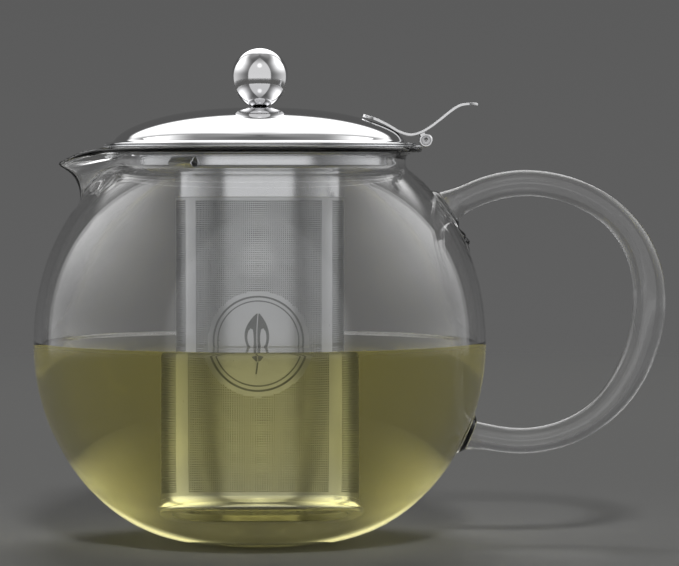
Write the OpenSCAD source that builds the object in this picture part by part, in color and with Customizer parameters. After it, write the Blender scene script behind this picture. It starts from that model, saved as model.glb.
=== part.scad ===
// Glass teapot with a lift-out steel infuser and a hinged lid.
// Origin: centre of the flat base on the pot's axis. +Z up, handle towards +X, spout towards -X.

/* [Glass pot] */
// Greatest outside diameter of the globe
globe_d = 150; // [140:1:156]
// Height of the globe's widest level above the base
equator_z = 65.2; // [62:0.2:68]
// Wall thickness of the blown glass
wall_t = 2.6; // [2:0.1:3]
// Outside radius at the narrowest part of the neck
neck_r = 48.4; // [47:0.2:50]
// Height of the top of the pouring lip
lip_z = 130.8; // [130:0.2:132]

/* [Handle] */
// Distance of the handle ring's centre from the pot's axis
handle_x = 87; // [84:0.5:90]
// Height of the handle ring's centre
handle_z = 76.2; // [72:0.2:80]
// Radius of the handle's centre line
handle_r = 43; // [41:0.1:45]
// Radius of the solid glass rod
rod_r = 4.7; // [4:0.1:5.4]

/* [Infuser] */
// Outside radius of the collar that hangs in the neck
collar_r = 42.4; // [41:0.1:42.8]
// Radius of the collar's flange, which rests on the lip
flange_r = 51.8; // [51:0.1:52.4]
// Height of the underside of the collar's floor
collar_floor_z = 122.9; // [122:0.1:124]
// Thickness of the spun steel sheet
sheet_t = 0.6; // [0.5:0.1:0.8]
// Outside radius of the etched basket
basket_r = 27.9; // [25:0.1:29]
// Height of the basket's underside
basket_z = 17.8; // [14:0.2:24]
// Thickness of the etched basket sheet
mesh_t = 0.4; // [0.3:0.1:0.6]

/* [Lid] */
// Height of the dome above the lid's flange
dome_h = 11.8; // [9:0.1:13]
// Radius where the dome meets the lid's flange
dome_r = 48.4; // [47:0.1:49]
// Thickness of the lid sheet
lid_t = 0.7; // [0.5:0.1:0.9]
// Radius of the ball knob
knob_r = 9.4; // [8:0.1:11]

/* [Hinge] */
// Distance of the hinge pin from the pot's axis
pin_x = 54.9; // [54.6:0.1:56]
// Outside radius of the rolled knuckles
knuckle_r = 2.2; // [2.1:0.05:2.3]
// Radius of the hinge pin
pin_r = 1.45; // [1.2:0.05:1.5]
// Full width of the hinge across all knuckles
hinge_w = 14; // [12:0.5:18]

/* [Hidden] */
$fn = 96;
eps = 0.01;
fit_gap = 0.1;                  // rest gap between stacked pieces
pin_clearance = 0.05;           // radial running clearance of pins and screws

// Globe: the wall is a squarish upper half, an elliptical lower half and a round base corner.
globe_a = globe_d / 2;
upper_b = 75.6;                 // height scale of the upper half
upper_power = 2.176;            // fullness of the shoulder
lower_b = 72.5;                 // height scale of the lower half
base_corner_r = 50.7;           // radius of the round between the base and the lower half
base_flat_r = 17.9;             // radius of the flat that the pot stands on
knee_angle = 44.5;              // where the base corner meets the lower half
shoulder_drop = 58.1;           // how far above the equator the shoulder ends
neck_z = 125.6;                 // height of the narrowest part of the neck
lip_reach = 4.6;                // how far the lip flares out of the neck
lip_t = 1.7;                    // thickness of the lip
lip_r = neck_r + lip_reach;     // radius of the lip's rounded edge

// Stack of flanges on the lip
collar_z = lip_z + fit_gap;                     // underside of the collar's flange
collar_top = collar_z + sheet_t;
lid_z = collar_top + fit_gap;                   // underside of the lid's flange
lid_top = lid_z + lid_t;
crest_z = lid_top + dome_h;                     // top of the dome
pin_z = collar_z + knuckle_r;                   // height of the hinge pin
bend_r = 1;                                     // inside radius of a bend in the collar

// Basket
ledge_t = 1;                                    // thickness of the ledge under the basket wall
wall_z = basket_z + ledge_t;                    // foot of the basket wall
band_z = 114.3;                                 // lower edge of the plain top band
rim_r = 29.3;                                   // radius of the base ring's rounded rim
floor_hole_r = 1.5;                             // radius of the drain holes in the floor
floor_hole_rings = 5;                           // rings of drain holes in the floor
floor_hole_pitch = 4;                           // spacing of the drain holes

// Hinge and lever
leaf_w = 6.8;                                   // width of the middle knuckle
side_gap = 0.2;                                 // gap between neighbouring knuckles
lever_t = 0.9;                                  // thickness of the lever
knuckle_w = (hinge_w - leaf_w) / 2 - side_gap;  // width of each outer knuckle
lever_tip_x = 72.7;                             // end of the thumb piece
lever_start_x = 33.6;                           // end of the lever on the dome

// Lugs on the collar
lug_angle = 123;                               // bearing of the front and back lugs
lug_len = 8.5;
lug_h = 2.8;                                    // how far the ridge stands out
lug_z = 125.6;                                  // height of the ridge

// Knob screw
screw_r = 1.45;
screw_top = 9;                                  // how far the screw reaches into the knob
head_r = 3;
head_h = 1.8;
washer_r = 5;
washer_t = 0.7;
knob_foot_r = 2.2;                              // flat under the knob
slot_w = 0.8;                                   // width of the screw's cross recess

// ---- helpers -----------------------------------------------------------------------------
// Points on an arc about c, from a0 to a1 degrees
function arc(c, r, a0, a1, n = 8) = [for (i = [0:n]) let (a = a0 + (a1 - a0) * i / n)
    c + r * [cos(a), sin(a)]];

// Right-hand unit normal of a path at point i
function path_normal(p, i) = let (d = p[min(i + 1, len(p) - 1)] - p[max(i - 1, 0)])
    [d[1], -d[0]] / norm(d);

// A path moved sideways by d, to the right of its direction
function beside(p, d) = [for (i = [0:len(p) - 1]) p[i] + d * path_normal(p, i)];

function backwards(p) = [for (i = [len(p) - 1:-1:0]) p[i]];

// Closed outline of a strip of thickness t along a path
function strip(p, t) = concat(beside(p, t / 2), backwards(beside(p, -t / 2)));

// Smooth curve through hand-picked points
function curve_point(p0, p1, p2, p3, t) = 0.5 * (2 * p1 + (p2 - p0) * t
    + (2 * p0 - 5 * p1 + 4 * p2 - p3) * t * t + (3 * p1 - p0 - 3 * p2 + p3) * t * t * t);
function smooth(p, n = 4) = let (last = len(p) - 1) concat(
    [for (i = [0:last - 1], k = [0:n - 1])
        curve_point(p[max(i - 1, 0)], p[i], p[i + 1], p[min(i + 2, last)], k / n)],
    [p[last]]);

// ---- glass pot ---------------------------------------------------------------------------
// Outside of the pot from the base to the underside of the lip, as [radius, height]
function upper_r(dz) = globe_a * sqrt(1 - pow(dz / upper_b, upper_power));
outer_path = concat(
    [[0, 0]],
    arc([base_flat_r, base_corner_r], base_corner_r, -90, -90 + knee_angle, 7),
    [for (a = [-40:8:-8]) [globe_a * cos(a), equator_z + lower_b * sin(a)]],
    [for (i = [0:13]) let (dz = shoulder_drop * sin(90 * i / 13)) [upper_r(dz), equator_z + dz]],
    [for (a = [200:20:260]) let (b = (a - 180) / 90)
        [neck_r + 1 - b, neck_z - 2.2 + 2.2 * b]],
    [for (a = [0:15:90]) [lip_r - lip_reach * cos(a), neck_z + (lip_z - lip_t - neck_z) * sin(a)]]);

// Wall thickness along that path: full in the globe, thinner at the lip
function wall_at(z) = z < neck_z ? wall_t : wall_t + (lip_t - wall_t) * (z - neck_z)
    / (lip_z - lip_t - neck_z);
inner_path = [for (i = [1:len(outer_path) - 1])
    outer_path[i] - wall_at(outer_path[i][1]) * path_normal(outer_path, i)];
lip_edge = arc([lip_r, lip_z - lip_t / 2], lip_t / 2, -60, 60, 4);

module pot_solid() {
    rotate_extrude()
        polygon(concat(outer_path, lip_edge, [[lip_r, lip_z], [0, lip_z]]));
}

module pot_wall() {
    rotate_extrude()
        polygon(concat(outer_path, lip_edge, backwards(inner_path), [[0, inner_path[0][1]]]));
}

module pot_inside() {
    rotate_extrude()
        polygon(concat([[0, inner_path[0][1]]], inner_path, [[lip_r, lip_z + 5], [0, lip_z + 5]]));
}

// Pulled spout: a rounded beak whose top edges fall from the lip to the tip.
// Each row is [centre of the sphere on the +Y side, radius of the sphere].
spout_beak = [[[-65.9, 2.6, 125], 1.2],         // tip
              [[-47.5, 16, 129.1], 1.2],        // where the top edge leaves the lip
              [[-52.4, 2, 115], 7]];            // root on the shoulder
spout_hollow = [[[-64.2, 1.9, 128.4], 1.8],     // the channel's end at the tip
                [[-44, 14, 133], 2.4],
                [[-49.4, 2, 118], 6.2]];        // way out of the pot below the collar

// Rounded body spanned by those spheres and their mirror images
module beak(rows) {
    hull() for (row = rows, s = [-1, 1]) {
        translate([row[0][0], row[0][1] * s, row[0][2]]) sphere(r = row[1], $fn = 32);
    }
}

module glass_body() {
    color([0.86, 0.9, 0.88, 0.35]) difference() {
        union() {
            pot_wall();
            difference() {
                beak(spout_beak);
                pot_inside();
            }
        }
        beak(spout_hollow);
    }
}

// ---- handle ------------------------------------------------------------------------------
upper_joint = 125;              // bearing on the handle ring where the rod meets the upper pad
lower_joint = -112.5;           // and where it meets the lower pad
upper_face_r = 5.8;             // radius of the rod's flared upper end
lower_face_r = 5.3;             // radius of its flared lower end
flare_len = 7;
pad_reach = 9;                  // depth of a pad, measured from the rod's end into the globe

// Puts its children at a bearing on the handle ring, +Z running off the rod's end (dir 1 or -1)
module on_ring(bearing, dir) {
    translate([handle_x + handle_r * cos(bearing), 0, handle_z + handle_r * sin(bearing)])
        rotate([0, -bearing, 0]) rotate([dir > 0 ? 0 : 180, 0, 0]) children();
}

module handle() {
    color([0.86, 0.9, 0.88, 0.35]) union() {
        translate([handle_x, 0, handle_z]) rotate([90, 0, 0]) rotate([0, 0, lower_joint])
            rotate_extrude(angle = upper_joint - lower_joint) translate([handle_r, 0])
                circle(r = rod_r);
        on_ring(upper_joint, 1) translate([0, 0, -flare_len])
            cylinder(r1 = rod_r - 0.7, r2 = upper_face_r, h = flare_len);
        on_ring(lower_joint, -1) translate([0, 0, -flare_len])
            cylinder(r1 = rod_r - 0.7, r2 = lower_face_r, h = flare_len);
    }
}

// A pad of glass between the rod's flat end and the globe, with a rounded skirt below it
module joint_pad(face_r, skirt_at, skirt_r) {
    difference() {
        union() {
            cylinder(r = face_r, h = pad_reach);
            translate(skirt_at) sphere(r = skirt_r);
        }
        translate([0, 0, -20]) cube(40, center = true);
    }
}

module handle_upper_pad() {
    color([0.8, 0.86, 0.8, 0.4]) difference() {
        on_ring(upper_joint, 1) joint_pad(upper_face_r, [-4.2, 0, 14.3], 14.4);
        pot_solid($fn = 240);
    }
}

module handle_lower_pad() {
    color([0.8, 0.86, 0.8, 0.4]) difference() {
        on_ring(lower_joint, -1) joint_pad(lower_face_r, [0, 0, 5], 7.3);
        pot_solid($fn = 240);
    }
}

// ---- infuser -----------------------------------------------------------------------------
basket_hole_r = basket_r - mesh_t;
collar_mid_r = collar_r - sheet_t / 2;
mid_bend = bend_r + sheet_t / 2;
collar_path = concat(
    [[basket_hole_r, collar_floor_z + sheet_t / 2]],
    arc([collar_mid_r - mid_bend, collar_floor_z + sheet_t / 2 + mid_bend], mid_bend, -90, 0, 5),
    arc([collar_mid_r + mid_bend, collar_z + sheet_t / 2 - mid_bend], mid_bend, 180, 90, 5),
    [[flange_r, collar_z + sheet_t / 2]]);

module infuser_collar() {
    color("silver") difference() {
        rotate_extrude() polygon(strip(collar_path, sheet_t));
        translate([leaf_x0, -leaf_w / 2, collar_z - 1]) cube([10, leaf_w, 3]);
    }
}

// A leaf of spring sheet bent to a ridge, on the collar's wall at a bearing
module locating_lug(bearing) {
    ridge = [[collar_r - 0.5, -lug_h - 0.5], [collar_r + lug_h, 0], [collar_r - 0.5, lug_h + 0.5]];
    color("gainsboro") difference() {
        rotate([0, 0, bearing]) translate([0, lug_len / 2, lug_z]) rotate([90, 0, 0])
            linear_extrude(lug_len) difference() {
                polygon(ridge);
                translate([-0.6, 0]) polygon(ridge);
            }
        translate([0, 0, collar_floor_z]) cylinder(r = collar_r, h = collar_z - collar_floor_z);
    }
}
module locating_lug_front() locating_lug(-lug_angle);
module locating_lug_back() locating_lug(lug_angle);
module locating_lug_hinge() locating_lug(0);

// Runs an outline drawn in X and Z across the hinge, centred on the XZ plane
module across(w) {
    translate([0, w / 2, 0]) rotate([90, 0, 0]) linear_extrude(w) children();
}

leaf_x0 = 49.8;                 // inner end of the leaf, let into the collar's flange
module hinge_leaf() {
    color("silver") difference() {
        union() {
            translate([leaf_x0, -leaf_w / 2, collar_z])
                cube([pin_x - leaf_x0, leaf_w, sheet_t]);
            translate([pin_x, leaf_w / 2, pin_z]) rotate([90, 0, 0])
                cylinder(r = knuckle_r, h = leaf_w);
        }
        translate([pin_x, leaf_w, pin_z]) rotate([90, 0, 0])
            cylinder(r = pin_r + pin_clearance, h = 2 * leaf_w);
    }
}

module hinge_pin() {
    dimple = 0.5;
    color("gray") translate([pin_x, 0, pin_z]) rotate([90, 0, 0]) difference() {
        cylinder(r = pin_r, h = hinge_w, center = true);
        for (s = [-1, 1]) translate([0, 0, s * hinge_w / 2])
            cylinder(r = dimple * 0.8, h = 2 * dimple, center = true);
    }
}

module basket_top_band() {
    color("silver") translate([0, 0, band_z]) difference() {
        cylinder(r = basket_r + mesh_t, h = collar_floor_z - band_z);
        translate([0, 0, -1]) cylinder(r = basket_r, h = collar_floor_z - band_z + 2);
    }
}

module basket_wall() {
    color("darkgray") translate([0, 0, wall_z]) difference() {
        cylinder(r = basket_r, h = collar_floor_z - wall_z);
        translate([0, 0, -1]) cylinder(r = basket_r - mesh_t, h = collar_floor_z - wall_z + 2);
    }
}

// Spun ring under the wall: an inner ledge, a rounded rim and a flare up to the wall
module basket_base_ring() {
    rim = 1.3;
    neck = basket_r + 0.3;
    sweep = 3.4;
    turn = acos((neck + sweep - rim_r + rim) / (sweep + rim));
    flare_top = basket_z + rim + (rim + sweep) * sin(turn);
    color("silver") rotate_extrude() polygon(concat(
        [[basket_r - 3, basket_z]],
        arc([rim_r - rim, basket_z + rim], rim, -90, turn, 6),
        backwards(arc([neck + sweep, flare_top], sweep, 180, 180 + turn, 6)),
        [[basket_r, flare_top], [basket_r, wall_z], [basket_r - 3, wall_z]]));
}

module basket_floor() {
    color("darkgray") translate([0, 0, wall_z]) difference() {
        cylinder(r = basket_r - mesh_t - 0.05, h = mesh_t);
        for (ring = [1:floor_hole_rings], i = [1:6 * ring])
            rotate([0, 0, 60 * i / ring]) translate([ring * floor_hole_pitch, 0, -1])
                cylinder(r = floor_hole_r, h = 3, $fn = 24);
    }
}

// ---- lid ---------------------------------------------------------------------------------
// Middle of the dome's sheet: nearly flat on top and round at the shoulder
dome_base = lid_z + lid_t / 2;
function dome_point(a) = [dome_r * pow(sin(a), 0.87), dome_base + dome_h * pow(cos(a), 1.25)];
screw_hole_a = asin(pow((screw_r + pin_clearance) / dome_r, 1 / 0.87));
dome_path = concat(
    [for (i = [0:15]) dome_point(screw_hole_a + (84 - screw_hole_a) * i / 15)],
    [[dome_r + 0.35, dome_base + 0.3], [dome_r + 1, dome_base], [flange_r, dome_base]]);

module lid_dome() {
    color("whitesmoke") rotate_extrude() polygon(strip(dome_path, lid_t));
}

// Side line of the lever: up the dome's edge, dipping to the hinge, then out to the thumb piece
lever_path = smooth([[lever_start_x, 141.5], [38.2, 140.1], [42.2, 138.2], [46.2, 135.9],
    [49.8, 134.9], [53, 135.6], [56.4, 137.5], [59.7, 140], [63.2, 142.8], [66.2, 144.6],
    [69.4, 145.1], [lever_tip_x, 145]]);

// Plan of the lever: parallel over the hinge, with a rounded end on the lid and at the thumb
module lever_plan() {
    foot_r = hinge_w / 2;
    thumb_r = 5.5;
    waist_x = 60;               // where the sides start to narrow towards the thumb end
    translate([0, 0, 120]) linear_extrude(40) union() {
        intersection() {
            translate([lever_start_x + foot_r, 0]) circle(r = foot_r);
            translate([lever_start_x, -foot_r]) square([foot_r, hinge_w]);
        }
        polygon([[lever_start_x + foot_r, -foot_r], [waist_x, -foot_r],
            [lever_tip_x - thumb_r, -thumb_r], [lever_tip_x - thumb_r, thumb_r],
            [waist_x, foot_r], [lever_start_x + foot_r, foot_r]]);
        translate([lever_tip_x - thumb_r, 0]) circle(r = thumb_r);
    }
}

module lid_lever() {
    web_w = 2.2;                // web between each outer knuckle and the lever's strip
    web_tilt = 29;              // slope of the lever over the pin
    web_h = knuckle_r + 0.8;
    color("whitesmoke") difference() {
        union() {
            intersection() {
                across(hinge_w) polygon(strip(lever_path, lever_t));
                lever_plan();
            }
            for (s = [-1, 1]) translate([pin_x, s * (hinge_w - knuckle_w) / 2, pin_z]) {
                rotate([90, 0, 0]) cylinder(r = knuckle_r, h = knuckle_w, center = true);
                rotate([0, -web_tilt, 0]) translate([0, 0, web_h / 2])
                    cube([web_w, knuckle_w, web_h], center = true);
            }
        }
        translate([pin_x, 0, pin_z]) rotate([90, 0, 0])
            cylinder(r = pin_r + pin_clearance, h = hinge_w + 2, center = true);
    }
}

// Ball drawn down to a small foot on the dome
module knob_ball() {
    foot_z = crest_z + 0.02;
    ball_z = crest_z + knob_r + 0.9;
    lower = ball_z - foot_z + 0.3;
    end_a = -acos(knob_foot_r / knob_r);
    bore = screw_r + pin_clearance;
    outline = concat(
        [[bore, foot_z], [knob_foot_r, foot_z]],
        [for (i = [1:9]) let (a = end_a * (1 - i / 9)) [knob_r * cos(a), ball_z + lower * sin(a)]],
        [for (i = [1:9]) [knob_r * cos(10 * i), ball_z + knob_r * sin(10 * i)]],
        [[0, foot_z + screw_top + 0.5], [bore, foot_z + screw_top]]);
    color("whitesmoke") rotate_extrude() polygon(outline);
}

washer_top = crest_z - lid_t - 0.08;
module knob_washer() {
    color("silver") translate([0, 0, washer_top - washer_t]) difference() {
        cylinder(r = washer_r, h = washer_t);
        translate([0, 0, -1]) cylinder(r = screw_r + pin_clearance, h = washer_t + 2);
    }
}

module knob_screw() {
    head_top = washer_top - washer_t;
    color("gray") difference() {
        union() {
            translate([0, 0, head_top - head_h]) cylinder(r1 = head_r - 0.7, r2 = head_r, h = head_h);
            translate([0, 0, head_top - eps])
                cylinder(r = screw_r, h = crest_z + screw_top - head_top - 0.2);
        }
        for (a = [0, 90]) rotate([0, 0, a]) translate([0, 0, head_top - head_h])
            cube([2 * head_r * 0.6, slot_w, head_h], center = true);
    }
}

glass_body();
handle();
handle_upper_pad();
handle_lower_pad();
infuser_collar();
locating_lug_front();
locating_lug_back();
locating_lug_hinge();
hinge_leaf();
hinge_pin();
basket_top_band();
basket_wall();
basket_base_ring();
basket_floor();
lid_dome();
lid_lever();
knob_ball();
knob_washer();
knob_screw();
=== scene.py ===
"""Glass teapot with a lift-out steel infuser: the looks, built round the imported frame.

Shapes are worked out in millimetres in the row frame and turned to metres in piece().
"""

import math

import bmesh
import bpy
import numpy as np
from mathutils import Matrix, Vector


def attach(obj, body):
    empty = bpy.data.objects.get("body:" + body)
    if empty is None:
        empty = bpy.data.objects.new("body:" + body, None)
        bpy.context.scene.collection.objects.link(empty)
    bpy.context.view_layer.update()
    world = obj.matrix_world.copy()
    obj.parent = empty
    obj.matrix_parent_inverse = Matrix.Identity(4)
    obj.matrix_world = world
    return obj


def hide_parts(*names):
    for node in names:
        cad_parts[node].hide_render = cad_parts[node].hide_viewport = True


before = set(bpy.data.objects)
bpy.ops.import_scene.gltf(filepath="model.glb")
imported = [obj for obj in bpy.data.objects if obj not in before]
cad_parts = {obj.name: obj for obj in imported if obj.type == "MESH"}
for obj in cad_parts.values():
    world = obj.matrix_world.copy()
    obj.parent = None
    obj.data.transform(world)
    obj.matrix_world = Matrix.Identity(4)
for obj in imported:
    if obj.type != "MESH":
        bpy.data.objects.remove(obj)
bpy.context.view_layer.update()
MM = 0.001
TAU = 2 * math.pi

# ---- the pot's sizes, in mm --------------------------------------------------------------------
GLOBE_R = 75.0
EQUATOR_Z = 65.2
SHOULDER_H = 75.6          # height scale of the upper half
SHOULDER_POWER = 2.176     # fullness of the shoulder
BOWL_H = 72.5              # height scale of the lower half
CORNER_R = 50.7            # round between the base and the lower half
FLAT_R = 17.9              # flat that the pot stands on
NECK_R, NECK_Z = 48.4, 125.6
LIP_R, LIP_Z, LIP_T = 53.0, 130.8, 1.7
WALL_T = 2.6
NECK_FOOT_H = 57.4         # from the widest level up to where the neck's round begins
SPOUT_Z = 108.0            # where the spout starts to swell
PAD_FILLET = 2.6           # round where a pad of the handle meets the globe
TEA_Z = 66.0

COLLAR_R, COLLAR_Z, SHEET_T = 42.4, 130.9, 0.6
COLLAR_FLOOR_Z = 122.9
FLANGE_R = 51.8
LUG_Z, LUG_BEARING = 125.6, 123
BASKET_R, MESH_T = 27.9, 0.4
WALL_Z, BAND_Z = 18.8, 114.3
BASE_Z, RIM_R = 17.8, 29.3

LID_Z, LID_T = 131.6, 0.7
DOME_R, DOME_H = 48.4, 11.8
CREST_Z = LID_Z + LID_T + DOME_H
KNOB_R, KNOB_FOOT_R = 9.4, 2.2
PIN_X, PIN_Z, PIN_R, KNUCKLE_R = 54.9, 133.1, 1.45, 2.2
HINGE_W, LEAF_W = 14.0, 6.8
LEAF_Z = 131.22            # middle of the hinge leaf's sheet


# ---- mesh helpers ------------------------------------------------------------------------------
def piece(name, verts, faces, body, material, stands_for=(), smooth=True, recalc=True):
    """A mesh object from points in mm and faces, riding on a body."""
    verts = np.asarray(verts, np.float32) * MM
    mesh = bpy.data.meshes.new(name)
    counts = np.array([len(f) for f in faces], np.int32)
    loops = np.concatenate([np.asarray(f, np.int32).ravel() for f in faces])
    mesh.vertices.add(len(verts))
    mesh.vertices.foreach_set("co", verts.ravel())
    mesh.loops.add(len(loops))
    mesh.loops.foreach_set("vertex_index", loops)
    mesh.polygons.add(len(counts))
    mesh.polygons.foreach_set("loop_start", np.concatenate([[0], np.cumsum(counts)[:-1]]).astype(np.int32))
    mesh.update(calc_edges=True)
    mesh.validate()
    if recalc:
        bm = bmesh.new()
        bm.from_mesh(mesh)
        bmesh.ops.recalc_face_normals(bm, faces=bm.faces)
        bm.to_mesh(mesh)
        bm.free()
    mesh.polygons.foreach_set("use_smooth", np.full(len(mesh.polygons), smooth, bool))
    mesh.materials.append(material)
    obj = bpy.data.objects.new(name, mesh)
    bpy.context.scene.collection.objects.link(obj)
    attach(obj, body)
    if stands_for:
        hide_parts(*stands_for)
    return obj


def sharpen(obj, degrees):
    """Marks edges sharper than an angle, so that smooth shading stops there."""
    bm = bmesh.new()
    bm.from_mesh(obj.data)
    for e in bm.edges:
        if len(e.link_faces) == 2 and e.calc_face_angle(0) > math.radians(degrees):
            e.smooth = False
    bm.to_mesh(obj.data)
    bm.free()


def revolved(outline, n=192):
    """Points and faces of a closed outline of [radius, height], turned about Z."""
    angle = np.linspace(0, TAU, n, endpoint=False)
    verts, rings = [], []
    for r, z in outline:
        if r < 1e-6:
            rings.append([len(verts)] * n)
            verts.append((0, 0, z))
        else:
            rings.append(list(range(len(verts), len(verts) + n)))
            verts += list(zip(r * np.cos(angle), r * np.sin(angle), [z] * n))
    faces = []
    for i in range(len(rings)):
        a, b = rings[i], rings[(i + 1) % len(rings)]
        if a[0] == a[1] and b[0] == b[1]:
            continue
        for k in range(n):
            m = (k + 1) % n
            if a[0] == a[1]:
                faces.append((a[0], b[m], b[k]))
            elif b[0] == b[1]:
                faces.append((a[k], a[m], b[0]))
            else:
                faces.append((a[k], a[m], b[m], b[k]))
    return verts, faces


def arc(centre, r, a0, a1, n=10):
    """Points on an arc, in degrees."""
    return [(centre[0] + r * math.cos(math.radians(a)), centre[1] + r * math.sin(math.radians(a)))
            for a in np.linspace(a0, a1, n + 1)]


def normals(path):
    """Right-hand unit normals of an open path."""
    p = np.asarray(path, float)
    d = np.gradient(p, axis=0)
    d /= np.linalg.norm(d, axis=1)[:, None]
    return np.c_[d[:, 1], -d[:, 0]]


def resampled(path, step):
    """The path with points about step apart along it."""
    p = np.asarray(path, float)
    s = np.concatenate([[0], np.cumsum(np.linalg.norm(np.diff(p, axis=0), axis=1))])
    t = np.linspace(0, s[-1], max(2, int(round(s[-1] / step)) + 1))
    return np.c_[np.interp(t, s, p[:, 0]), np.interp(t, s, p[:, 1])]


def eased(path, sigma, step):
    """The path with its corners eased over about sigma, its ends kept."""
    p = resampled(path, step)
    n = int(3 * sigma / step)
    k = np.exp(-0.5 * (np.arange(-n, n + 1) * step / sigma) ** 2)
    k /= k.sum()
    out = np.empty_like(p)
    for c in (0, 1):
        head = 2 * p[0, c] - p[n:0:-1, c]
        tail = 2 * p[-1, c] - p[-2:-n - 2:-1, c]
        out[:, c] = np.convolve(np.concatenate([head, p[:, c], tail]), k, "valid")
    return out


def sheet_outline(path, t, caps=6):
    """Closed outline of a sheet of thickness t along a path, with rounded edges."""
    p = np.asarray(path, float)
    n = normals(p)
    right, left = p + n * t / 2, p - n * t / 2
    start, end = p[0], p[-1]
    a_end = math.degrees(math.atan2(n[-1][1], n[-1][0]))
    a_start = math.degrees(math.atan2(-n[0][1], -n[0][0]))
    return (list(map(tuple, right)) + arc(end, t / 2, a_end, a_end + 180, caps)[1:-1]
            + list(map(tuple, left[::-1])) + arc(start, t / 2, a_start, a_start + 180, caps)[1:-1])


def spline(points, n=8):
    """Catmull-Rom curve through points."""
    p = np.asarray(points, float)
    p = np.vstack([2 * p[0] - p[1], p, 2 * p[-1] - p[-2]])
    out = []
    for i in range(1, len(p) - 2):
        for t in np.arange(n) / n:
            out.append(0.5 * (2 * p[i] + (p[i + 1] - p[i - 1]) * t
                              + (2 * p[i - 1] - 5 * p[i] + 4 * p[i + 1] - p[i + 2]) * t * t
                              + (3 * p[i] - p[i - 1] - 3 * p[i + 1] + p[i + 2]) * t ** 3))
    out.append(p[-2])
    return np.array(out)


def smoothstep(x, a, b):
    """0 below a, 1 above b, and a smooth rise between."""
    t = np.clip((np.asarray(x, float) - a) / (b - a), 0, 1)
    return t * t * (3 - 2 * t)


# ---- materials ---------------------------------------------------------------------------------
def new_material(name):
    mat = bpy.data.materials.new(name)
    mat.use_nodes = True
    tree = mat.node_tree
    return mat, tree, tree.nodes["Principled BSDF"]


def node(tree, kind, **values):
    n = tree.nodes.new(kind)
    for key, value in values.items():
        if hasattr(n, key):
            setattr(n, key, value)
        else:
            n.inputs[key.replace("_", " ")].default_value = value
    return n


def steel(name, colour, rough, rough_spread, grain, grain_scale, bump):
    """Stainless steel: fine noise, stretched by grain, moves its roughness and its surface."""
    mat, tree, bsdf = new_material(name)
    bsdf.inputs["Base Color"].default_value = (*colour, 1)
    bsdf.inputs["Metallic"].default_value = 1
    coords = node(tree, "ShaderNodeTexCoord")
    scale = node(tree, "ShaderNodeMapping")
    scale.inputs["Scale"].default_value = grain
    noise = node(tree, "ShaderNodeTexNoise", Scale=grain_scale, Detail=4.0, Roughness=0.6)
    span = node(tree, "ShaderNodeMapRange")
    span.inputs["To Min"].default_value = rough - rough_spread
    span.inputs["To Max"].default_value = rough + rough_spread
    rise = node(tree, "ShaderNodeBump", Strength=bump, Distance=0.00005)
    tree.links.new(coords.outputs["Object"], scale.inputs["Vector"])
    tree.links.new(scale.outputs["Vector"], noise.inputs["Vector"])
    tree.links.new(noise.outputs["Fac"], span.inputs["Value"])
    tree.links.new(span.outputs["Result"], bsdf.inputs["Roughness"])
    tree.links.new(noise.outputs["Fac"], rise.inputs["Height"])
    tree.links.new(rise.outputs["Normal"], bsdf.inputs["Normal"])
    return mat


def glass(name, ior, wave, wave_scale):
    """Clear glass or liquid, with a slight, slow waviness: its material, node tree and shader."""
    mat, tree, bsdf = new_material(name)
    bsdf.inputs["Base Color"].default_value = (1, 1, 1, 1)
    bsdf.inputs["Transmission Weight"].default_value = 1
    bsdf.inputs["IOR"].default_value = ior
    coords = node(tree, "ShaderNodeTexCoord")
    noise = node(tree, "ShaderNodeTexNoise", Scale=wave_scale, Detail=1.0)
    span = node(tree, "ShaderNodeMapRange")
    span.inputs["To Min"].default_value = 0
    span.inputs["To Max"].default_value = 0.004
    rise = node(tree, "ShaderNodeBump", Strength=wave, Distance=0.0005)
    tree.links.new(coords.outputs["Object"], noise.inputs["Vector"])
    tree.links.new(noise.outputs["Fac"], span.inputs["Value"])
    tree.links.new(span.outputs["Result"], bsdf.inputs["Roughness"])
    tree.links.new(noise.outputs["Fac"], rise.inputs["Height"])
    tree.links.new(rise.outputs["Normal"], bsdf.inputs["Normal"])
    return mat, tree, bsdf


POLISHED = steel("polished_steel", (0.86, 0.86, 0.87), 0.045, 0.02, (1, 1, 1), 260, 0.02)
SATIN = steel("satin_steel", (0.82, 0.83, 0.85), 0.2, 0.05, (1, 1, 12), 300, 0.05)
ETCHED = steel("etched_steel", (0.66, 0.67, 0.68), 0.3, 0.06, (1, 1, 1), 900, 0.06)
MOTIF = steel("etched_motif", (0.3, 0.31, 0.31), 0.5, 0.08, (1, 1, 1), 1400, 0.12)
PIN = steel("pin_steel", (0.6, 0.6, 0.61), 0.22, 0.06, (1, 14, 1), 700, 0.08)
GLASS, _, _ = glass("clear_glass", 1.45, 0.003, 9)
# the rod bends the light less than real glass, as in the photograph, and its coat gives the reflections
ROD_GLASS, _, rod_bsdf = glass("rod_glass", 1.06, 0.01, 30)
rod_bsdf.inputs["Coat Weight"].default_value = 1
rod_bsdf.inputs["Coat Roughness"].default_value = 0.01
rod_bsdf.inputs["Coat IOR"].default_value = 1.65
# so does the tea, which takes its colour from what it absorbs
TEA, tea_tree, tea_bsdf = glass("tea", 1.175, 0.02, 20)
tea_bsdf.inputs["Specular IOR Level"].default_value = 0.2
absorb = node(tea_tree, "ShaderNodeVolumeAbsorption")
absorb.inputs["Color"].default_value = (0.98, 0.9, 0.0, 1)
absorb.inputs["Density"].default_value = 10
tea_tree.links.new(absorb.outputs["Volume"], tea_tree.nodes["Material Output"].inputs["Volume"])


# ---- the glass pot -----------------------------------------------------------------------------
def shoulder_r(dz):
    """Radius of the upper half at a height above the widest level."""
    return GLOBE_R * np.sqrt(1 - (dz / SHOULDER_H) ** SHOULDER_POWER)


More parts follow.
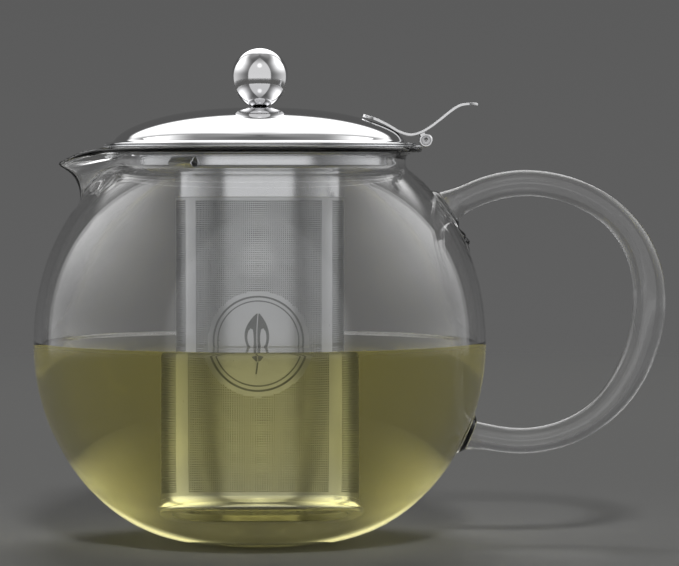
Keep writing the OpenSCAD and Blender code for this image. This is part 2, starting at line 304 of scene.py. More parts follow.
def pot_profile(step=0.25):
    """Outside of the pot from the centre of the base to the underside of the lip."""
    rows = [(0, 0)] + arc((FLAT_R, CORNER_R), CORNER_R, -90, -45.5, 40)
    rows += [(GLOBE_R * math.cos(a), EQUATOR_Z + BOWL_H * math.sin(a))
             for a in np.radians(np.linspace(-40, 0, 40))]
    drop = NECK_FOOT_H * np.sin(np.radians(np.linspace(2, 90, 60)))
    rows += list(zip(shoulder_r(drop), EQUATOR_Z + drop))
    rows += [(NECK_R + 0.3, NECK_Z - 1.7), (NECK_R, NECK_Z - 0.8)]
    flare_z = NECK_Z + 1.8
    rows += [(LIP_R - (LIP_R - NECK_R) * math.cos(a), flare_z + (LIP_Z - LIP_T - flare_z) * math.sin(a))
             for a in np.radians(np.linspace(0, 90, 16))]
    return eased(rows, 0.6, step)


PROFILE = pot_profile()
ARC = np.concatenate([[0], np.cumsum(np.linalg.norm(np.diff(PROFILE, axis=0), axis=1))])
EDGE_S = ARC[-1]                                   # arc length at the lip
SPOUT_S = np.interp(SPOUT_Z, PROFILE[:, 1], ARC)   # and where the spout starts to swell
SPOUT = spline([(62.9, 108.3), (60.9, 111.0), (59.8, 113.8), (59.9, 116.6), (60.9, 119.6), (62.6, 122.0),
                (64.9, 123.7), (66.3, 124.6)], 10)
SPOUT_ARC = np.concatenate([[0], np.cumsum(np.linalg.norm(np.diff(SPOUT, axis=0), axis=1))])

RING_X, RING_Z = 87.0, 76.2                        # centre of the handle ring
JOINTS = {                                         # rod ends: bearing, distance from the ring's centre, radius
    "upper": (125.0, 42.75, 5.7),
    "lower": (-112.5, 44.4, 5.2),
}


def joint_frame(name):
    """Centre of a rod's end face and the direction from it into the globe, both in X and Z."""
    bearing, distance, r = JOINTS[name]
    a = math.radians(bearing)
    turn = 1 if name == "upper" else -1
    return (np.array([RING_X + distance * math.cos(a), RING_Z + distance * math.sin(a)]),
            np.array([-math.sin(a), math.cos(a)]) * turn, r)


def pot_point(s, phi):
    """Point on the outside, for arc lengths s and bearings phi from the handle, with the spout pulled."""
    r = np.interp(s, ARC, PROFILE[:, 0])
    z = np.interp(s, ARC, PROFILE[:, 1])
    tau = np.clip((s - SPOUT_S) / (EDGE_S - SPOUT_S), 0, 1)
    rs = np.interp(tau * SPOUT_ARC[-1], SPOUT_ARC, SPOUT[:, 0])
    zs = np.interp(tau * SPOUT_ARC[-1], SPOUT_ARC, SPOUT[:, 1])
    off = np.abs(np.degrees(np.pi - np.abs(phi)))
    width = 8.6 + 2.2 * tau
    w = np.exp(-(off / width) ** 1.7) * smoothstep(tau, 0.0, 0.14)
    r, z = r + w * (rs - r), z + w * (zs - z)
    return np.stack([r * np.cos(phi), r * np.sin(phi), z], -1)


def padded(p):
    """The outside drawn out to the rod's end faces."""
    q = p.copy()
    for name in JOINTS:
        centre, into, r = joint_frame(name)
        d = np.array([into[0], 0, into[1]])
        rel = p - np.array([centre[0], 0, centre[1]])
        along = rel @ d
        across = np.linalg.norm(rel - along[..., None] * d, axis=-1)
        w = 1 - smoothstep(across, r - 0.15, r + PAD_FILLET)
        near = (along > -6) & (along < 14)
        q -= (along * w * near)[..., None] * d
    # a run of glass below the upper pad, and ripples left by the torch above it
    y, z = p[..., 1], p[..., 2]
    side = (p[..., 0] > 0).astype(float)
    radial = p * np.array([1, 1, 0])
    radial /= np.maximum(np.linalg.norm(radial, axis=-1), 1e-6)[..., None]
    run = 1.5 * np.exp(-((y / 3.4) ** 2)) * np.exp(-(((z - 100.6) / 3.2) ** 2))
    run = run * (1 + 0.3 * np.sin(z * 2.1 + y))
    ripple = 0.3 * np.sin(z * 3.6 + 0.8 * y) * np.exp(-((y / 6) ** 2)) * np.exp(-(((z - 118.4) / 3) ** 2))
    q += ((run + ripple) * side)[..., None] * radial
    return q


def wall_at(z):
    """Thickness of the glass at a height: thinner towards the lip."""
    return np.interp(z, [NECK_Z + 1.5, LIP_Z - LIP_T], [WALL_T, LIP_T])


def grid_normals(p):
    """Outward unit normals of a grid of points [row, column], the columns closing on themselves."""
    du = np.roll(p, -1, axis=1) - np.roll(p, 1, axis=1)
    dv = np.gradient(p, axis=0)
    n = np.cross(du, dv)
    return n / np.maximum(np.linalg.norm(n, axis=-1), 1e-9)[..., None]


def dense(stops):
    """Values from stops [start, end, step], each stretch evenly divided."""
    out = []
    for a, b, step in stops:
        out += list(np.linspace(a, b, max(1, int(round((b - a) / step))), endpoint=False))
    return out + [stops[-1][1]]


def s_at(z):
    """Arc length along the profile at a height."""
    return float(np.interp(z, PROFILE[:, 1], ARC))


def glass_pot():
    """The blown pot with its spout, lip and handle pads, as one closed skin: outside, lip, then inside."""
    half = dense([(0.4, 9.2, 0.4), (9.2, 147, 2.2), (147, 172, 0.9), (172, 180, 0.5)])
    phi = np.radians([0.0] + half + [-a for a in half[-2::-1]])
    outer_s = dense([(3, s_at(25), 2.2), (s_at(25), s_at(46), 0.55), (s_at(46), s_at(95), 2.2),
                     (s_at(95), s_at(122), 0.55), (s_at(122), EDGE_S, 0.42)])
    inner_s = dense([(3, s_at(100), 2.4), (s_at(100), s_at(121), 1.0), (s_at(121), EDGE_S, 0.5)])
    s, f = np.meshgrid(outer_s, phi, indexing="ij")
    plain = pot_point(s, f)
    outside = padded(plain)
    edge, edge_n = plain[-1], grid_normals(plain)[-1]
    s, f = np.meshgrid(inner_s, phi, indexing="ij")
    inner = pot_point(s, f)
    tip = np.exp(-(np.degrees(np.pi - np.abs(f)) / 7) ** 2) * smoothstep(s, SPOUT_S, EDGE_S)
    thick = wall_at(inner[..., 2]) * (1 - 0.38 * tip)
    inside = inner - grid_normals(inner) * thick[..., None]
    # the rounded lip: half a circle from the outside round to the inside
    middle = (edge + inside[-1]) / 2
    up = inside[-1] - middle
    out = np.cross(np.roll(edge, -1, axis=0) - np.roll(edge, 1, axis=0), up)
    out /= np.linalg.norm(out, axis=-1)[:, None]
    out *= np.where((out * edge).sum(-1) < 0, -1, 1)[:, None]
    half_t = np.linalg.norm(up, axis=-1)[:, None]
    lip = [middle - up * math.cos(a) + out * half_t * math.sin(a)
           for a in np.radians([20, 40, 60, 80, 100, 120, 140, 160])]
    grid = np.concatenate([outside, np.array(lip), inside[::-1]])
    rows, cols = grid.shape[:2]
    index = np.arange(rows * cols).reshape(rows, cols)
    nxt = np.roll(index, -1, axis=1)
    quads = np.stack([index[:-1], nxt[:-1], nxt[1:], index[1:]], -1).reshape(-1, 4)
    verts = np.vstack([grid.reshape(-1, 3), [[0, 0, 0]], [[0, 0, WALL_T]]])
    bottom, top = len(verts) - 2, len(verts) - 1
    faces = list(quads) + [(bottom, nxt[0, k], index[0, k]) for k in range(cols)]
    faces += [(top, index[-1, k], nxt[-1, k]) for k in range(cols)]
    return piece("glass_pot", verts, faces, "pot", GLASS,
                 ("glass_body", "handle_upper_pad", "handle_lower_pad"))


def handle_rod():
    """Solid rod bent to an ear: thicker where the hand holds it, flared at both ends."""
    stops = [(-112.5, 44.4, 5.2), (-109, 43.6, 4.65), (-103, 42.95, 4.32), (-90, 42.8, 4.28), (-60, 42.5, 4.43),
             (-45, 42.0, 4.8), (-30, 41.45, 5.2), (-15, 41.4, 5.43), (0, 42.05, 5.55), (15, 43.25, 5.35),
             (30, 44.2, 4.95), (45, 44.35, 4.58), (60, 43.75, 4.42), (75, 43.2, 4.3), (90, 42.8, 4.35),
             (105, 42.4, 4.4), (114, 42.2, 4.35), (119, 42.35, 4.6), (122.5, 42.6, 5.15), (125, 42.75, 5.7)]
    line = spline([(a, d) for a, d, _ in stops], 12)
    size = spline([(a, r) for a, _, r in stops], 12)[:, 1]
    a = np.radians(line[:, 0])
    centre = np.c_[RING_X + line[:, 1] * np.cos(a), np.zeros(len(a)), RING_Z + line[:, 1] * np.sin(a)]
    radial = np.c_[np.cos(a), np.zeros(len(a)), np.sin(a)]
    n = 64
    turn = np.linspace(0, TAU, n, endpoint=False)
    sideways = np.array([0, 1, 0])
    rings = [centre[i] + size[i] * (np.cos(turn)[:, None] * radial[i] + np.sin(turn)[:, None] * sideways)
             for i in range(len(a))]
    # softly rounded end faces, a hair off the pads
    hair = 0.04
    ends = []
    for i, sign in ((0, -1), (-1, 1)):
        along = np.array([-math.sin(a[i]), 0, math.cos(a[i])]) * sign
        ring = rings[i] - along * (hair + 0.12)
        inset = centre[i] + (rings[i] - centre[i]) * 0.975 - along * (hair + 0.03)
        face = centre[i] + (rings[i] - centre[i]) * 0.93 - along * hair
        ends.append((ring, inset, face, centre[i] - along * hair))
    grid = np.array([ends[0][2], ends[0][1], ends[0][0]] + rings[1:-1] + [ends[1][0], ends[1][1], ends[1][2]])
    rows = len(grid)
    verts = np.vstack([grid.reshape(-1, 3), [ends[0][3]], [ends[1][3]]])
    faces = [(i * n + k, i * n + (k + 1) % n, (i + 1) * n + (k + 1) % n, (i + 1) * n + k)
             for i in range(rows - 1) for k in range(n)]
    faces += [(len(verts) - 2, (k + 1) % n, k) for k in range(n)]
    faces += [(len(verts) - 1, (rows - 1) * n + k, (rows - 1) * n + (k + 1) % n) for k in range(n)]
    return piece("handle_rod", verts, faces, "pot", ROD_GLASS, ("handle",))


def tea():
    """The tea: it reaches a hair into the glass, so no air shows between, and rises where it wets a wall."""
    s_in = np.linspace(3, s_at(TEA_Z) + 2, 90)
    p = np.c_[np.interp(s_in, ARC, PROFILE[:, 0]), np.interp(s_in, ARC, PROFILE[:, 1])]
    wall = p - normals(p) * (WALL_T - 0.15)
    wall = wall[wall[:, 1] < TEA_Z + 0.9]
    outline = [(0, WALL_T - 0.15)] + list(map(tuple, wall))
    reach = wall[-1][0]
    wall_mid = BASKET_R - MESH_T / 2
    steps = np.array([0.4, 0.8, 1.4, 2.0, 3.0])
    for r in (list(reach - np.array([0.25, 0.5, 0.8, 1.2, 1.7, 2.4, 3.4, 5])) + list(np.linspace(64, 32, 9))
              + list(wall_mid + steps[::-1]) + list(wall_mid - steps) + list(np.linspace(22, 3, 6))):
        z = TEA_Z + 0.9 * math.exp(-(reach - r) / 0.9) + 0.5 * math.exp(-abs(r - wall_mid) / 0.6)
        outline.append((r, z))
    outline.append((0, TEA_Z))
    verts, faces = revolved(outline, 192)
    return piece("tea", verts, faces, "pot", TEA)


# ---- the infuser -------------------------------------------------------------------------------
def infuser_collar():
    """Spun collar: floor round the basket, wall, and the flange that rests on the lip."""
    mid, bend = COLLAR_R - SHEET_T / 2, 1.3
    path = [(BASKET_R - MESH_T + 0.3, COLLAR_FLOOR_Z + SHEET_T / 2)]
    path += arc((mid - bend, COLLAR_FLOOR_Z + SHEET_T / 2 + bend), bend, -90, 0, 8)
    path += arc((mid + bend, COLLAR_Z + SHEET_T / 2 - bend), bend, 180, 90, 8)
    path += [(FLANGE_R - SHEET_T / 2, COLLAR_Z + SHEET_T / 2)]
    verts, faces = revolved(sheet_outline(resampled(path, 0.6), SHEET_T - 0.02), 224)
    return piece("collar", verts, faces, "infuser", SATIN, ("infuser_collar",))


def lug(name, bearing, node_name):
    """A leaf of spring sheet bent to a ridge, with eased edges."""
    height, half, t = 2.8, 4.25, 0.55
    foot = COLLAR_R + 0.05
    outline = [(foot, -height - 0.1), (foot + height, 0), (foot, height + 0.1),
               (foot, height + 0.1 - t * 1.3), (foot + height - t * 1.5, 0), (foot, -height - 0.1 + t * 1.3)]
    a = math.radians(bearing)
    out, along = np.array([math.cos(a), math.sin(a)]), np.array([-math.sin(a), math.cos(a)])
    verts = [(*(out * r + along * y), LUG_Z + z) for y in (-half, half) for r, z in outline]
    n = len(outline)
    faces = [tuple(range(n)), tuple(range(2 * n - 1, n - 1, -1))]
    faces += [(k, (k + 1) % n, n + (k + 1) % n, n + k) for k in range(n)]
    obj = piece(name, verts, faces, "infuser", SATIN, (node_name,))
    eased_edges(obj, 0.12, 2)
    return obj


def eased_edges(obj, width, segments):
    """A small bevel on every sharp edge, made part of the mesh."""
    bm = bmesh.new()
    bm.from_mesh(obj.data)
    sharp = [e for e in bm.edges if len(e.link_faces) == 2 and e.calc_face_angle(0) > math.radians(25)]
    bmesh.ops.bevel(bm, geom=sharp, offset=width * MM, segments=segments, profile=0.6, affect="EDGES")
    bmesh.ops.recalc_face_normals(bm, faces=bm.faces)
    bm.to_mesh(obj.data)
    bm.free()
    obj.data.polygons.foreach_set("use_smooth", np.ones(len(obj.data.polygons), bool))


def tube(r0, r1, half, ease, centre_y):
    """Closed tube along Y about the pin's line, with eased rims: points and faces."""
    outline = [(r0, -half + ease), (r0 + ease, -half), (r1 - ease, -half), (r1, -half + ease),
               (r1, half - ease), (r1 - ease, half), (r0 + ease, half), (r0, half - ease)]
    verts, faces = revolved(outline, 48)
    return [(PIN_X + x, centre_y + z, PIN_Z + y) for x, y, z in verts], faces


def joined(*parts):
    """Several point and face lists as one."""
    verts, faces = [], []
    for v, f in parts:
        faces += [tuple(np.asarray(q) + len(verts)) for q in f]
        verts += list(v)
    return verts, faces


def slab(rows, ease=0.14):
    """Closed loft through rows of (centre x, centre z, normal x, normal z, half width, half thickness)."""
    grid = []
    for x, z, nx, nz, w, t in rows:
        e = min(ease, 0.6 * t, 0.6 * w)
        corners = [(w - e, t - e, 0), (e - w, t - e, 90), (e - w, e - t, 180), (w - e, e - t, 270)]
        ring = [q for u, v, turn in corners for q in arc((u, v), e, turn, turn + 90, 4)]
        grid.append([(x + nx * v, u, z + nz * v) for u, v in ring])
    n = len(grid[0])
    rows_n = len(grid)
    verts = [p for ring in grid for p in ring]
    faces = [(i * n + k, i * n + (k + 1) % n, (i + 1) * n + (k + 1) % n, (i + 1) * n + k)
             for i in range(rows_n - 1) for k in range(n)]
    faces += [tuple(range(n - 1, -1, -1)), tuple(range((rows_n - 1) * n, rows_n * n))]
    return verts, faces


def hinge_leaf():
    """Tongue let into the flange, rolled to the middle knuckle."""
    rows = [(x, LEAF_Z, 0, 1, LEAF_W / 2 - e, 0.29 - e * 0.4)
            for x, e in ((48.2, 0.3), (48.35, 0.1), (48.6, 0), (52, 0), (PIN_X - 0.2, 0), (PIN_X + 0.4, 0.1))]
    knuckle = tube(PIN_R + 0.05, KNUCKLE_R - 0.02, LEAF_W / 2 - 0.02, 0.2, 0)
    verts, faces = joined(slab(rows), knuckle)
    obj = piece("hinge_leaf_rolled", verts, faces, "infuser", SATIN, ("hinge_leaf",))
    sharpen(obj, 40)
    return obj


def hinge_pin():
    """Turned pin with a small centre in each end."""
    half = HINGE_W / 2
    end = [(PIN_R, half - 0.25), (PIN_R - 0.25, half), (0.5, half), (0.42, half - 0.05), (0.3, half - 0.7),
           (0, half - 0.9)]
    outline = [(r, -z) for r, z in end[::-1]] + end
    verts, faces = revolved(outline, 48)
    verts = [(PIN_X + x, z, PIN_Z + y) for x, y, z in verts]
    obj = piece("hinge_pin_turned", verts, faces, "infuser", PIN, ("hinge_pin",))
    sharpen(obj, 40)
    return obj


def basket_band():
    """Plain band round the top of the basket."""
    r_in, r_out, top = BASKET_R + 0.01, BASKET_R + MESH_T, COLLAR_FLOOR_Z - 0.05
    outline = [(r_in, BAND_Z + 0.1), (BASKET_R + 0.08, BAND_Z), (r_out - 0.12, BAND_Z), (r_out, BAND_Z + 0.12),
               (r_out, 118.5), (r_out, top), (r_in, top)]
    verts, faces = revolved(outline, 192)
    obj = piece("basket_band", verts, faces, "infuser", SATIN, ("basket_top_band",))
    sharpen(obj, 40)
    return obj


def base_ring():
    """Ring at the foot: it flares from the wall in one sweep and rolls under in a small rim."""
    rim, neck, sweep = 1.3, BASKET_R + 0.3, 3.4
    turn = math.degrees(math.acos((neck + sweep - RIM_R + rim) / (sweep + rim)))
    top = BASE_Z + rim + (rim + sweep) * math.sin(math.radians(turn))
    outer = arc((RIM_R - rim, BASE_Z + rim), rim, -90, turn, 12)
    outer += arc((neck + sweep, top), sweep, 180 + turn, 180, 14)[1:]
    outline = [(BASKET_R - 3, BASE_Z + 0.1), (BASKET_R - 2.9, BASE_Z)] + outer
    outline += [(BASKET_R + 0.02, top + 0.1), (BASKET_R + 0.02, WALL_Z), (BASKET_R - 3, WALL_Z)]
    verts, faces = revolved(outline, 192)
    obj = piece("base_ring", verts, faces, "infuser", SATIN, ("basket_base_ring",))
    sharpen(obj, 40)
    return obj


# Etched panels of the basket: bearings from the front, heights, and the plain disc on the front
HOLE_Z0, HOLE_Z1 = 23.2, 113.3
PANELS = [(-47.3, 47.3), (59.1, 120.9), (132.7, 227.3), (239.1, 300.9)]
PITCH, HOLE = 0.683, 0.45
DISC_Z, DISC_R = 67.8, 16.3


def wall_point(u, z, r):
    """Point on the basket wall at a bearing from the front in degrees."""
    a = np.radians(u - 90)
    return np.stack([r * np.cos(a), r * np.sin(a), z * np.ones_like(a)], -1)


def etched_panel(name, u0, u1, z0, z1, n_u, n_z, disc=False):
    """Sheet with a square grid of etched holes, as real geometry; the disc keeps no holes."""
    r_out, r_in = BASKET_R, BASKET_R - MESH_T
    du, dz = (u1 - u0) / n_u, (z1 - z0) / n_z
    hu, hz = math.degrees(HOLE / 2 / BASKET_R), HOLE / 2
    ku, kz = np.arange(n_u + 1), np.arange(n_z + 1)
    gu, gz = np.meshgrid(u0 + ku * du, z0 + kz * dz, indexing="ij")
    n_grid = gu.size
    grid_index = np.arange(n_grid).reshape(gu.shape)
    verts = [wall_point(gu.ravel(), gz.ravel(), r_out), wall_point(gu.ravel(), gz.ravel(), r_in)]
    cu, cz = np.meshgrid(u0 + (ku[:-1] + 0.5) * du, z0 + (kz[:-1] + 0.5) * dz, indexing="ij")
    open_cell = np.ones(cu.shape, bool)
    if disc:
        x = BASKET_R * np.sin(np.radians(cu))
        open_cell = x ** 2 + (cz - DISC_Z) ** 2 > DISC_R ** 2
    c = [grid_index[:-1, :-1], grid_index[1:, :-1], grid_index[1:, 1:], grid_index[:-1, 1:]]
    corners = np.stack(c, -1)
    plain = corners[~open_cell]
    quads = [plain, (plain + n_grid)[:, ::-1]]
    # each open cell: its hole's corners outside then inside, and the sheet and walls round the hole
    holes = corners[open_cell]
    hu_c, hz_c = cu[open_cell], cz[open_cell]
    m = len(hu_c)
    start = 2 * n_grid
    signs = [(-1, -1), (1, -1), (1, 1), (-1, 1)]
    for r in (r_out, r_in):
        for su, sz in signs:
            verts.append(wall_point(hu_c + su * hu, hz_c + sz * hz, r))
    ring = [start + k * m + np.arange(m) for k in range(8)]
    for k in range(4):
        j = (k + 1) % 4
        quads.append(np.stack([holes[:, k], holes[:, j], ring[j], ring[k]], -1))
        quads.append(np.stack([holes[:, k] + n_grid, ring[4 + k], ring[4 + j], holes[:, j] + n_grid], -1))
        quads.append(np.stack([ring[k], ring[j], ring[4 + j], ring[4 + k]], -1))
    edge = np.concatenate([grid_index[:, 0], grid_index[-1, 1:], grid_index[-2::-1, -1],
                           grid_index[0, -2:0:-1]])
    e1 = np.roll(edge, -1)
    quads.append(np.stack([edge, edge + n_grid, e1 + n_grid, e1], -1))
    return piece(name, np.concatenate(verts), np.concatenate(quads), "infuser", ETCHED,
                 smooth=False, recalc=False)


def plain_wall(u0, u1, z0, z1, n_u):
    """Unetched stretch of the basket wall: points and faces."""
    u = np.linspace(u0, u1, n_u + 1)
    rows = [wall_point(u, z, r) for z, r in ((z0, BASKET_R), (z1, BASKET_R), (z1, BASKET_R - MESH_T),
                                             (z0, BASKET_R - MESH_T))]
    verts = np.concatenate(rows)
    n = n_u + 1
    whole = abs(u1 - u0 - 360) < 1e-6
    faces = [(i * n + k, i * n + k + 1, ((i + 1) % 4) * n + k + 1, ((i + 1) % 4) * n + k)
             for i in range(4) for k in range(n_u)]
    if not whole:
        faces += [(0, n, 2 * n, 3 * n), (n_u + 3 * n, n_u + 2 * n, n_u + n, n_u)]
    return list(map(tuple, verts)), faces


def basket():
    """The rolled wall: plain strips as one piece, and a piece or two for each panel of holes."""
    strips = [plain_wall(-180, 180, HOLE_Z1, COLLAR_FLOOR_Z - 0.02, 180),
              plain_wall(-180, 180, WALL_Z, HOLE_Z0, 180)]
    for i, (a, b) in enumerate(PANELS):
        start, end = b, (PANELS[(i + 1) % 4][0] + (360 if i == 3 else 0))
        strips.append(plain_wall(start, end, HOLE_Z0, HOLE_Z1, 12))
    verts, faces = joined(*strips)
    frame_piece = piece("basket_frame", verts, faces, "infuser", ETCHED, ("basket_wall",))
    bm = bmesh.new()
    bm.from_mesh(frame_piece.data)
    bmesh.ops.remove_doubles(bm, verts=bm.verts, dist=1e-7)
    bm.to_mesh(frame_piece.data)
    bm.free()
    sharpen(frame_piece, 30)
    z_mid = (HOLE_Z0 + HOLE_Z1) / 2
    for name, (a, b) in zip(("front", "right", "back", "left"), PANELS):
        n_u = int(round((b - a) * math.pi / 180 * BASKET_R / PITCH))
        n_z = int(round((HOLE_Z1 - HOLE_Z0) / PITCH / 2))
        if name in ("front", "back"):
            etched_panel(f"etched_{name}_lower", a, b, HOLE_Z0, z_mid, n_u, n_z, name == "front")
            etched_panel(f"etched_{name}_upper", a, b, z_mid, HOLE_Z1, n_u, n_z, name == "front")
        else:
            etched_panel(f"etched_{name}", a, b, HOLE_Z0, HOLE_Z1, n_u, 2 * n_z)


def motif():
    """A plain leaf inside two rings, etched on the disc."""
    parts = []

    def patch(rows):
        """Rows of (x, z) pairs across a thin raised patch that follows the wall."""
        rows = np.asarray(rows, float)
        n, m = rows.shape[:2]
        pts = []
        for r in (BASKET_R + 0.045, BASKET_R - 0.02):
            x, z = rows[..., 0].ravel(), rows[..., 1].ravel()
            pts.append(wall_point(np.degrees(np.arcsin(x / BASKET_R)), DISC_Z + z, r))
        verts = np.concatenate(pts)
        size = n * m
        idx = np.arange(size).reshape(n, m)
        faces = []
        for i in range(n - 1):
            for k in range(m - 1):
                q = (idx[i, k], idx[i, k + 1], idx[i + 1, k + 1], idx[i + 1, k])
                faces += [q, tuple(v + size for v in q[::-1])]
        rim = list(idx[0]) + list(idx[1:, -1]) + list(idx[-1, -2::-1]) + list(idx[-2:0:-1, 0])
        for a, b in zip(rim, rim[1:] + rim[:1]):
            faces.append((a, a + size, b + size, b))
        parts.append((list(map(tuple, verts)), faces))

    def leaf(foot, length, width):
        """Two halves of a leaf either side of a fine midrib that bows a little."""
        for side in (-1, 1):
            rows = []
            for t in np.linspace(0.0, 1, 25):
                w = width * math.sin(math.pi * (0.02 + 0.97 * t)) ** 0.75 * (1.18 - 0.45 * t)
                x = 1.6 * (t - 0.5) ** 2 - 0.4
                z = foot + length * t
                rows.append([(x + side * 0.14, z), (x + side * (0.18 + w), z + 0.35 * w)])
            patch(rows)

    for r0, r1 in ((12.9, 13.3), (14.2, 14.8)):
        patch([[(r0 * math.cos(t), r0 * math.sin(t)), (r1 * math.cos(t), r1 * math.sin(t))]
               for t in np.linspace(0, TAU, 97)])
    leaf(-6.0, 15.0, 3.9)
    patch([[(-0.26 - 0.5 * t, -6.2 - 3.4 * t), (0.2 - 0.5 * t, -6.2 - 3.4 * t)] for t in np.linspace(0, 1, 8)])
    verts, faces = joined(*parts)
    return piece("etched_sprig", verts, faces, "infuser", MOTIF, smooth=False)


# ---- the lid -----------------------------------------------------------------------------------
def dome_point(a):
    """Point in the middle of the dome's sheet, for an angle from the crown."""
    return (DOME_R * math.sin(a) ** 0.87, LID_Z + LID_T / 2 + DOME_H * math.cos(a) ** 1.25)


def lid_dome():
    """Spun dome with a narrow flange and a hole at the crown for the knob's screw."""
    a0 = math.asin((1.55 / DOME_R) ** (1 / 0.87))
    path = [dome_point(a) for a in np.linspace(a0, math.radians(84), 80)]
    base = LID_Z + LID_T / 2
    path += [(DOME_R + 0.35, base + 0.3), (DOME_R + 1, base), (FLANGE_R - LID_T / 2 - 0.02, base)]
    path = eased(path, 0.5, 0.3)
    verts, faces = revolved(sheet_outline(path, LID_T - 0.02), 288)
    return piece("dome", verts, faces, "lid", POLISHED, ("lid_dome",))


def knob():
    """Ball knob: round above its middle, drawn down below it to a small foot."""
    foot_z = CREST_Z + 0.02
    ball_z = CREST_Z + KNOB_R + 0.9
    lower = ball_z - foot_z + 0.3
    end_a = -math.acos(KNOB_FOOT_R / KNOB_R)
    outline = [(0, foot_z + 0.3), (1.0, foot_z), (KNOB_FOOT_R - 0.15, foot_z)]
    outline += [(KNOB_R * math.cos(a), ball_z + lower * math.sin(a)) for a in np.linspace(end_a, 0, 48)]
    outline += [(KNOB_R * math.cos(a), ball_z + KNOB_R * math.sin(a)) for a in np.linspace(0.04, TAU / 4, 40)]
    outline[-1] = (0, ball_z + KNOB_R)
    verts, faces = revolved(outline, 128)
    return piece("knob", verts, faces, "lid", POLISHED, ("knob_ball",))


def lever():
    """Thumb lever: one strip over the hinge with rounded ends, and the two outer knuckles."""
    line = spline([(33.6, 141.5), (38.2, 140.1), (42.2, 138.2), (46.2, 135.9), (49.8, 134.9), (53, 135.6),
                   (56.4, 137.5), (59.7, 140), (63.2, 142.8), (66.2, 144.6), (69.4, 145.1), (72.7, 145)], 8)
    n = -normals(line)
    foot, thumb, x0, x1 = HINGE_W / 2, 5.5, line[0][0], line[-1][0]
    rounds = 1 - np.cos(np.linspace(0.14, TAU / 4, 9))
    stations = np.concatenate([x0 + foot * rounds, np.linspace(x0 + foot, x1 - thumb, 60)[1:-1],
                               x1 - thumb * rounds[::-1]])
    rows = []
    for x in stations:
        w = float(np.interp(x, [60, x1 - thumb], [foot, thumb]))
        if x < x0 + foot:
            w = math.sqrt(foot ** 2 - (x0 + foot - x) ** 2)
        if x > x1 - thumb:
            w = math.sqrt(thumb ** 2 - (x - x1 + thumb) ** 2)
        z, nx, nz = (float(np.interp(x, line[:, 0], v)) for v in (line[:, 1], n[:, 0], n[:, 1]))
        rows.append((x, z, nx, nz, w, 0.45))
    knuckle_w = (HINGE_W - LEAF_W) / 2 - 0.2
    parts = [slab(rows)]
    lean = math.radians(29)
    for side in (-1, 1):
        y = side * (HINGE_W - knuckle_w) / 2
        parts.append(tube(PIN_R + 0.05, KNUCKLE_R, knuckle_w / 2, 0.22, y))
        # the web between each knuckle and the strip above it
        box = []
        box_faces = [(0, 1, 3, 2), (4, 6, 7, 5), (0, 4, 5, 1), (2, 3, 7, 6), (0, 2, 6, 4), (1, 5, 7, 3)]
        for hx, hy, hz in [(sx, sy, sz) for sx in (-1, 1) for sy in (-1, 1) for sz in (0, 1)]:
            lx, lz = hx * 0.8, 1.9 + hz * 0.75
            box.append((PIN_X + lx * math.cos(lean) - lz * math.sin(lean), y + hy * (knuckle_w / 2 - 0.1),
                        PIN_Z + lx * math.sin(lean) + lz * math.cos(lean)))
        parts.append((box, box_faces))
    verts, faces = joined(*parts)
    obj = piece("lever", verts, faces, "lid", POLISHED, ("lid_lever",))
    sharpen(obj, 38)
    return obj


glass_pot()
handle_rod()
tea()
infuser_collar()
lug("lug_front", -LUG_BEARING, "locating_lug_front")
lug("lug_back", LUG_BEARING, "locating_lug_back")
lug("lug_hinge", 0, "locating_lug_hinge")
hinge_leaf()
hinge_pin()
basket_band()
base_ring()
basket()
motif()
lid_dome()
knob()
lever()
# pieces whose CAD shape is good enough to be seen
for name, mat in (("basket_floor", ETCHED), ("knob_washer", SATIN), ("knob_screw", PIN)):
    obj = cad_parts[name]
    obj.data.materials.clear()
    obj.data.materials.append(mat)


# ---- stage, light and camera -------------------------------------------------------------------
def stage_floor():
    """Plain floor that fades out into the studio's surroundings, a hair below the pot."""
    mat, tree, bsdf = new_material("pale_floor")
    bsdf.inputs["Base Color"].default_value = (0.6, 0.6, 0.59, 1)
    bsdf.inputs["Roughness"].default_value = 0.8
    bsdf.inputs["Specular IOR Level"].default_value = 0
    r_in, r_out = 0.4, 1.7          # where the fade starts and where it is complete
    coords = node(tree, "ShaderNodeTexCoord")
    length = node(tree, "ShaderNodeVectorMath", operation="LENGTH")
    fade = node(tree, "ShaderNodeMapRange", interpolation_type="SMOOTHERSTEP")
    fade.inputs["From Min"].default_value = r_in
    fade.inputs["From Max"].default_value = r_out
    clear = node(tree, "ShaderNodeBsdfTransparent")
    mix = node(tree, "ShaderNodeMixShader")
    tree.links.new(coords.outputs["Object"], length.inputs[0])
    tree.links.new(length.outputs["Value"], fade.inputs["Value"])
    tree.links.new(fade.outputs["Result"], mix.inputs[0])
    tree.links.new(bsdf.outputs[0], mix.inputs[1])
    tree.links.new(clear.outputs[0], mix.inputs[2])
    tree.links.new(mix.outputs[0], tree.nodes["Material Output"].inputs["Surface"])
    mesh = bpy.data.meshes.new("floor")
    n, reach, below = 96, 1.8, -0.0002
    rim = [(reach * math.cos(TAU * k / n), reach * math.sin(TAU * k / n), below) for k in range(n)]
    mesh.from_pydata(rim, [], [tuple(range(n))])
    mesh.materials.append(mat)
    floor = bpy.data.objects.new("floor", mesh)
    bpy.context.scene.collection.objects.link(floor)


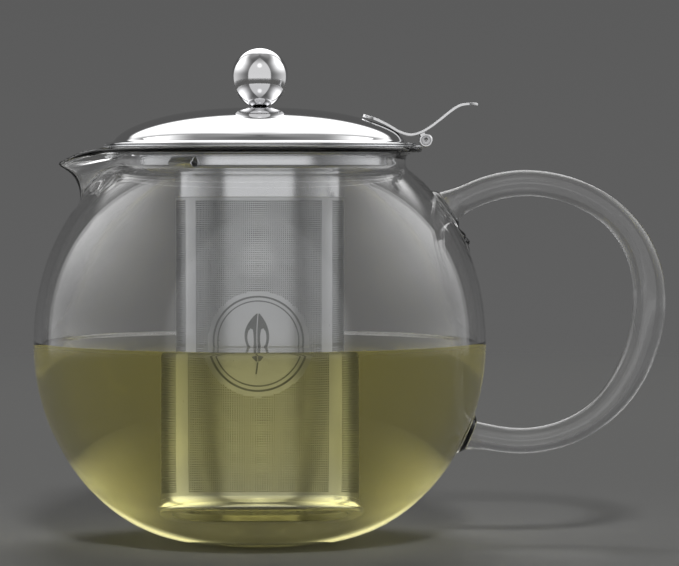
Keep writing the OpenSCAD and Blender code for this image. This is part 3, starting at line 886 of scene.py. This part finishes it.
def studio():
    """Soft studio surroundings: a grey room, a large light in front, one high behind and two beside."""
    world = bpy.data.worlds.new("studio")
    world.use_nodes = True
    bpy.context.scene.world = world
    tree = world.node_tree
    background = tree.nodes["Background"]
    coords = node(tree, "ShaderNodeTexCoord")
    split = node(tree, "ShaderNodeSeparateXYZ")
    tree.links.new(coords.outputs["Generated"], split.inputs[0])

    def math_node(operation, a, b=None):
        n = node(tree, "ShaderNodeMath", operation=operation)
        for socket, value in ((0, a), (1, b)):
            if value is None:
                continue
            if isinstance(value, (int, float)):
                n.inputs[socket].default_value = value
            else:
                tree.links.new(value, n.inputs[socket])
        return n.outputs[0]

    def ramp(value, a, b, to=1.0, base=0.0, kind="SMOOTHSTEP"):
        n = node(tree, "ShaderNodeMapRange", interpolation_type=kind)
        for key, v in (("From Min", a), ("From Max", b), ("To Min", base), ("To Max", to)):
            n.inputs[key].default_value = v
        tree.links.new(value, n.inputs["Value"])
        return n.outputs["Result"]

    def times(a, b):
        return math_node("MULTIPLY", a, b)

    def plus(a, b):
        return math_node("ADD", a, b)

    # bearing from the camera's side and height, both in degrees
    x, y, z = split.outputs
    bearing = times(math_node("ABSOLUTE", math_node("ARCTAN2", x, times(y, -1.0))), 180 / math.pi)
    height = times(math_node("ARCSINE", z), 180 / math.pi)

    # large soft light in front, brightest a little above the middle
    wide = math_node("POWER", times(bearing, 1 / 47.5), 2.0)
    tall = math_node("POWER", times(ramp(height, 10, 90, 80, 0, "LINEAR"), 1 / 68), 2.0)
    reach = plus(wide, tall)
    spot_reach = plus(math_node("POWER", times(bearing, 1 / 16), 2.0),
                      math_node("POWER", times(plus(height, -43.0), 1 / 13), 2.0))
    glow = plus(ramp(height, 45, 76, 0.2, 0.62), ramp(spot_reach, 1.0, 0.0, 0.55))
    front = times(ramp(reach, 1.1, 0.86), glow)
    # side lights: faint towards the front, brightest towards the back, where they end in a sharp edge
    flank = times(ramp(bearing, 44, 126, 1.95, 0.1), ramp(bearing, 134.2, 132.4))
    flank = times(flank, times(ramp(height, 4, 30, 1.0, 0.28), ramp(height, 38, 64, 0.1, 1.0)))
    # and a bright one high at the back
    rear = times(times(ramp(height, 24, 29, 2.2), ramp(height, 88, 50)), ramp(bearing, 128, 160))
    room = plus(ramp(height, -12, 12, 0.094, 0.128), ramp(height, 50, 80, 0.045))
    total = plus(math_node("MAXIMUM", math_node("MAXIMUM", front, flank), rear), room)
    tree.links.new(total, background.inputs["Color"])
    world.cycles_visibility.diffuse = False


def soft_light(name, bearing, height, distance, size, energy):
    """Round light for the floor's shading, placed by its bearing and height in degrees and not seen itself."""
    data = bpy.data.lights.new(name, "AREA")
    data.shape = "DISK"
    data.size = size
    data.energy = energy
    light = bpy.data.objects.new(name, data)
    a, e = math.radians(bearing), math.radians(height)
    place = Vector((math.sin(a) * math.cos(e), -math.cos(a) * math.cos(e), math.sin(e))) * distance
    light.location = place
    light.rotation_euler = (-place).to_track_quat("-Z", "Y").to_euler()
    bpy.context.scene.collection.objects.link(light)
    light.visible_camera = False
    light.visible_glossy = False
    light.visible_transmission = False


def camera():
    """Long lens about 1.12 m in front, level with the infuser's collar."""
    data = bpy.data.cameras.new("camera")
    data.sensor_width = 36
    data.lens = 179.2
    data.clip_end = 20
    cam = bpy.data.objects.new("camera", data)
    cam.location = (0.02638, -1.1217, 0.1246)
    cam.rotation_euler = (math.radians(88.02), 0, 0)
    bpy.context.scene.collection.objects.link(cam)
    bpy.context.scene.camera = cam


stage_floor()
studio()
soft_light("key", 5, 39, 4.0, 0.6, 21)
soft_light("overhead", 180, 62, 2.6, 1.3, 9.6)
camera()
scene = bpy.context.scene
scene.view_settings.view_transform = "Standard"
scene.cycles.max_bounces = 24
scene.cycles.transmission_bounces = 24
scene.cycles.transparent_max_bounces = 16
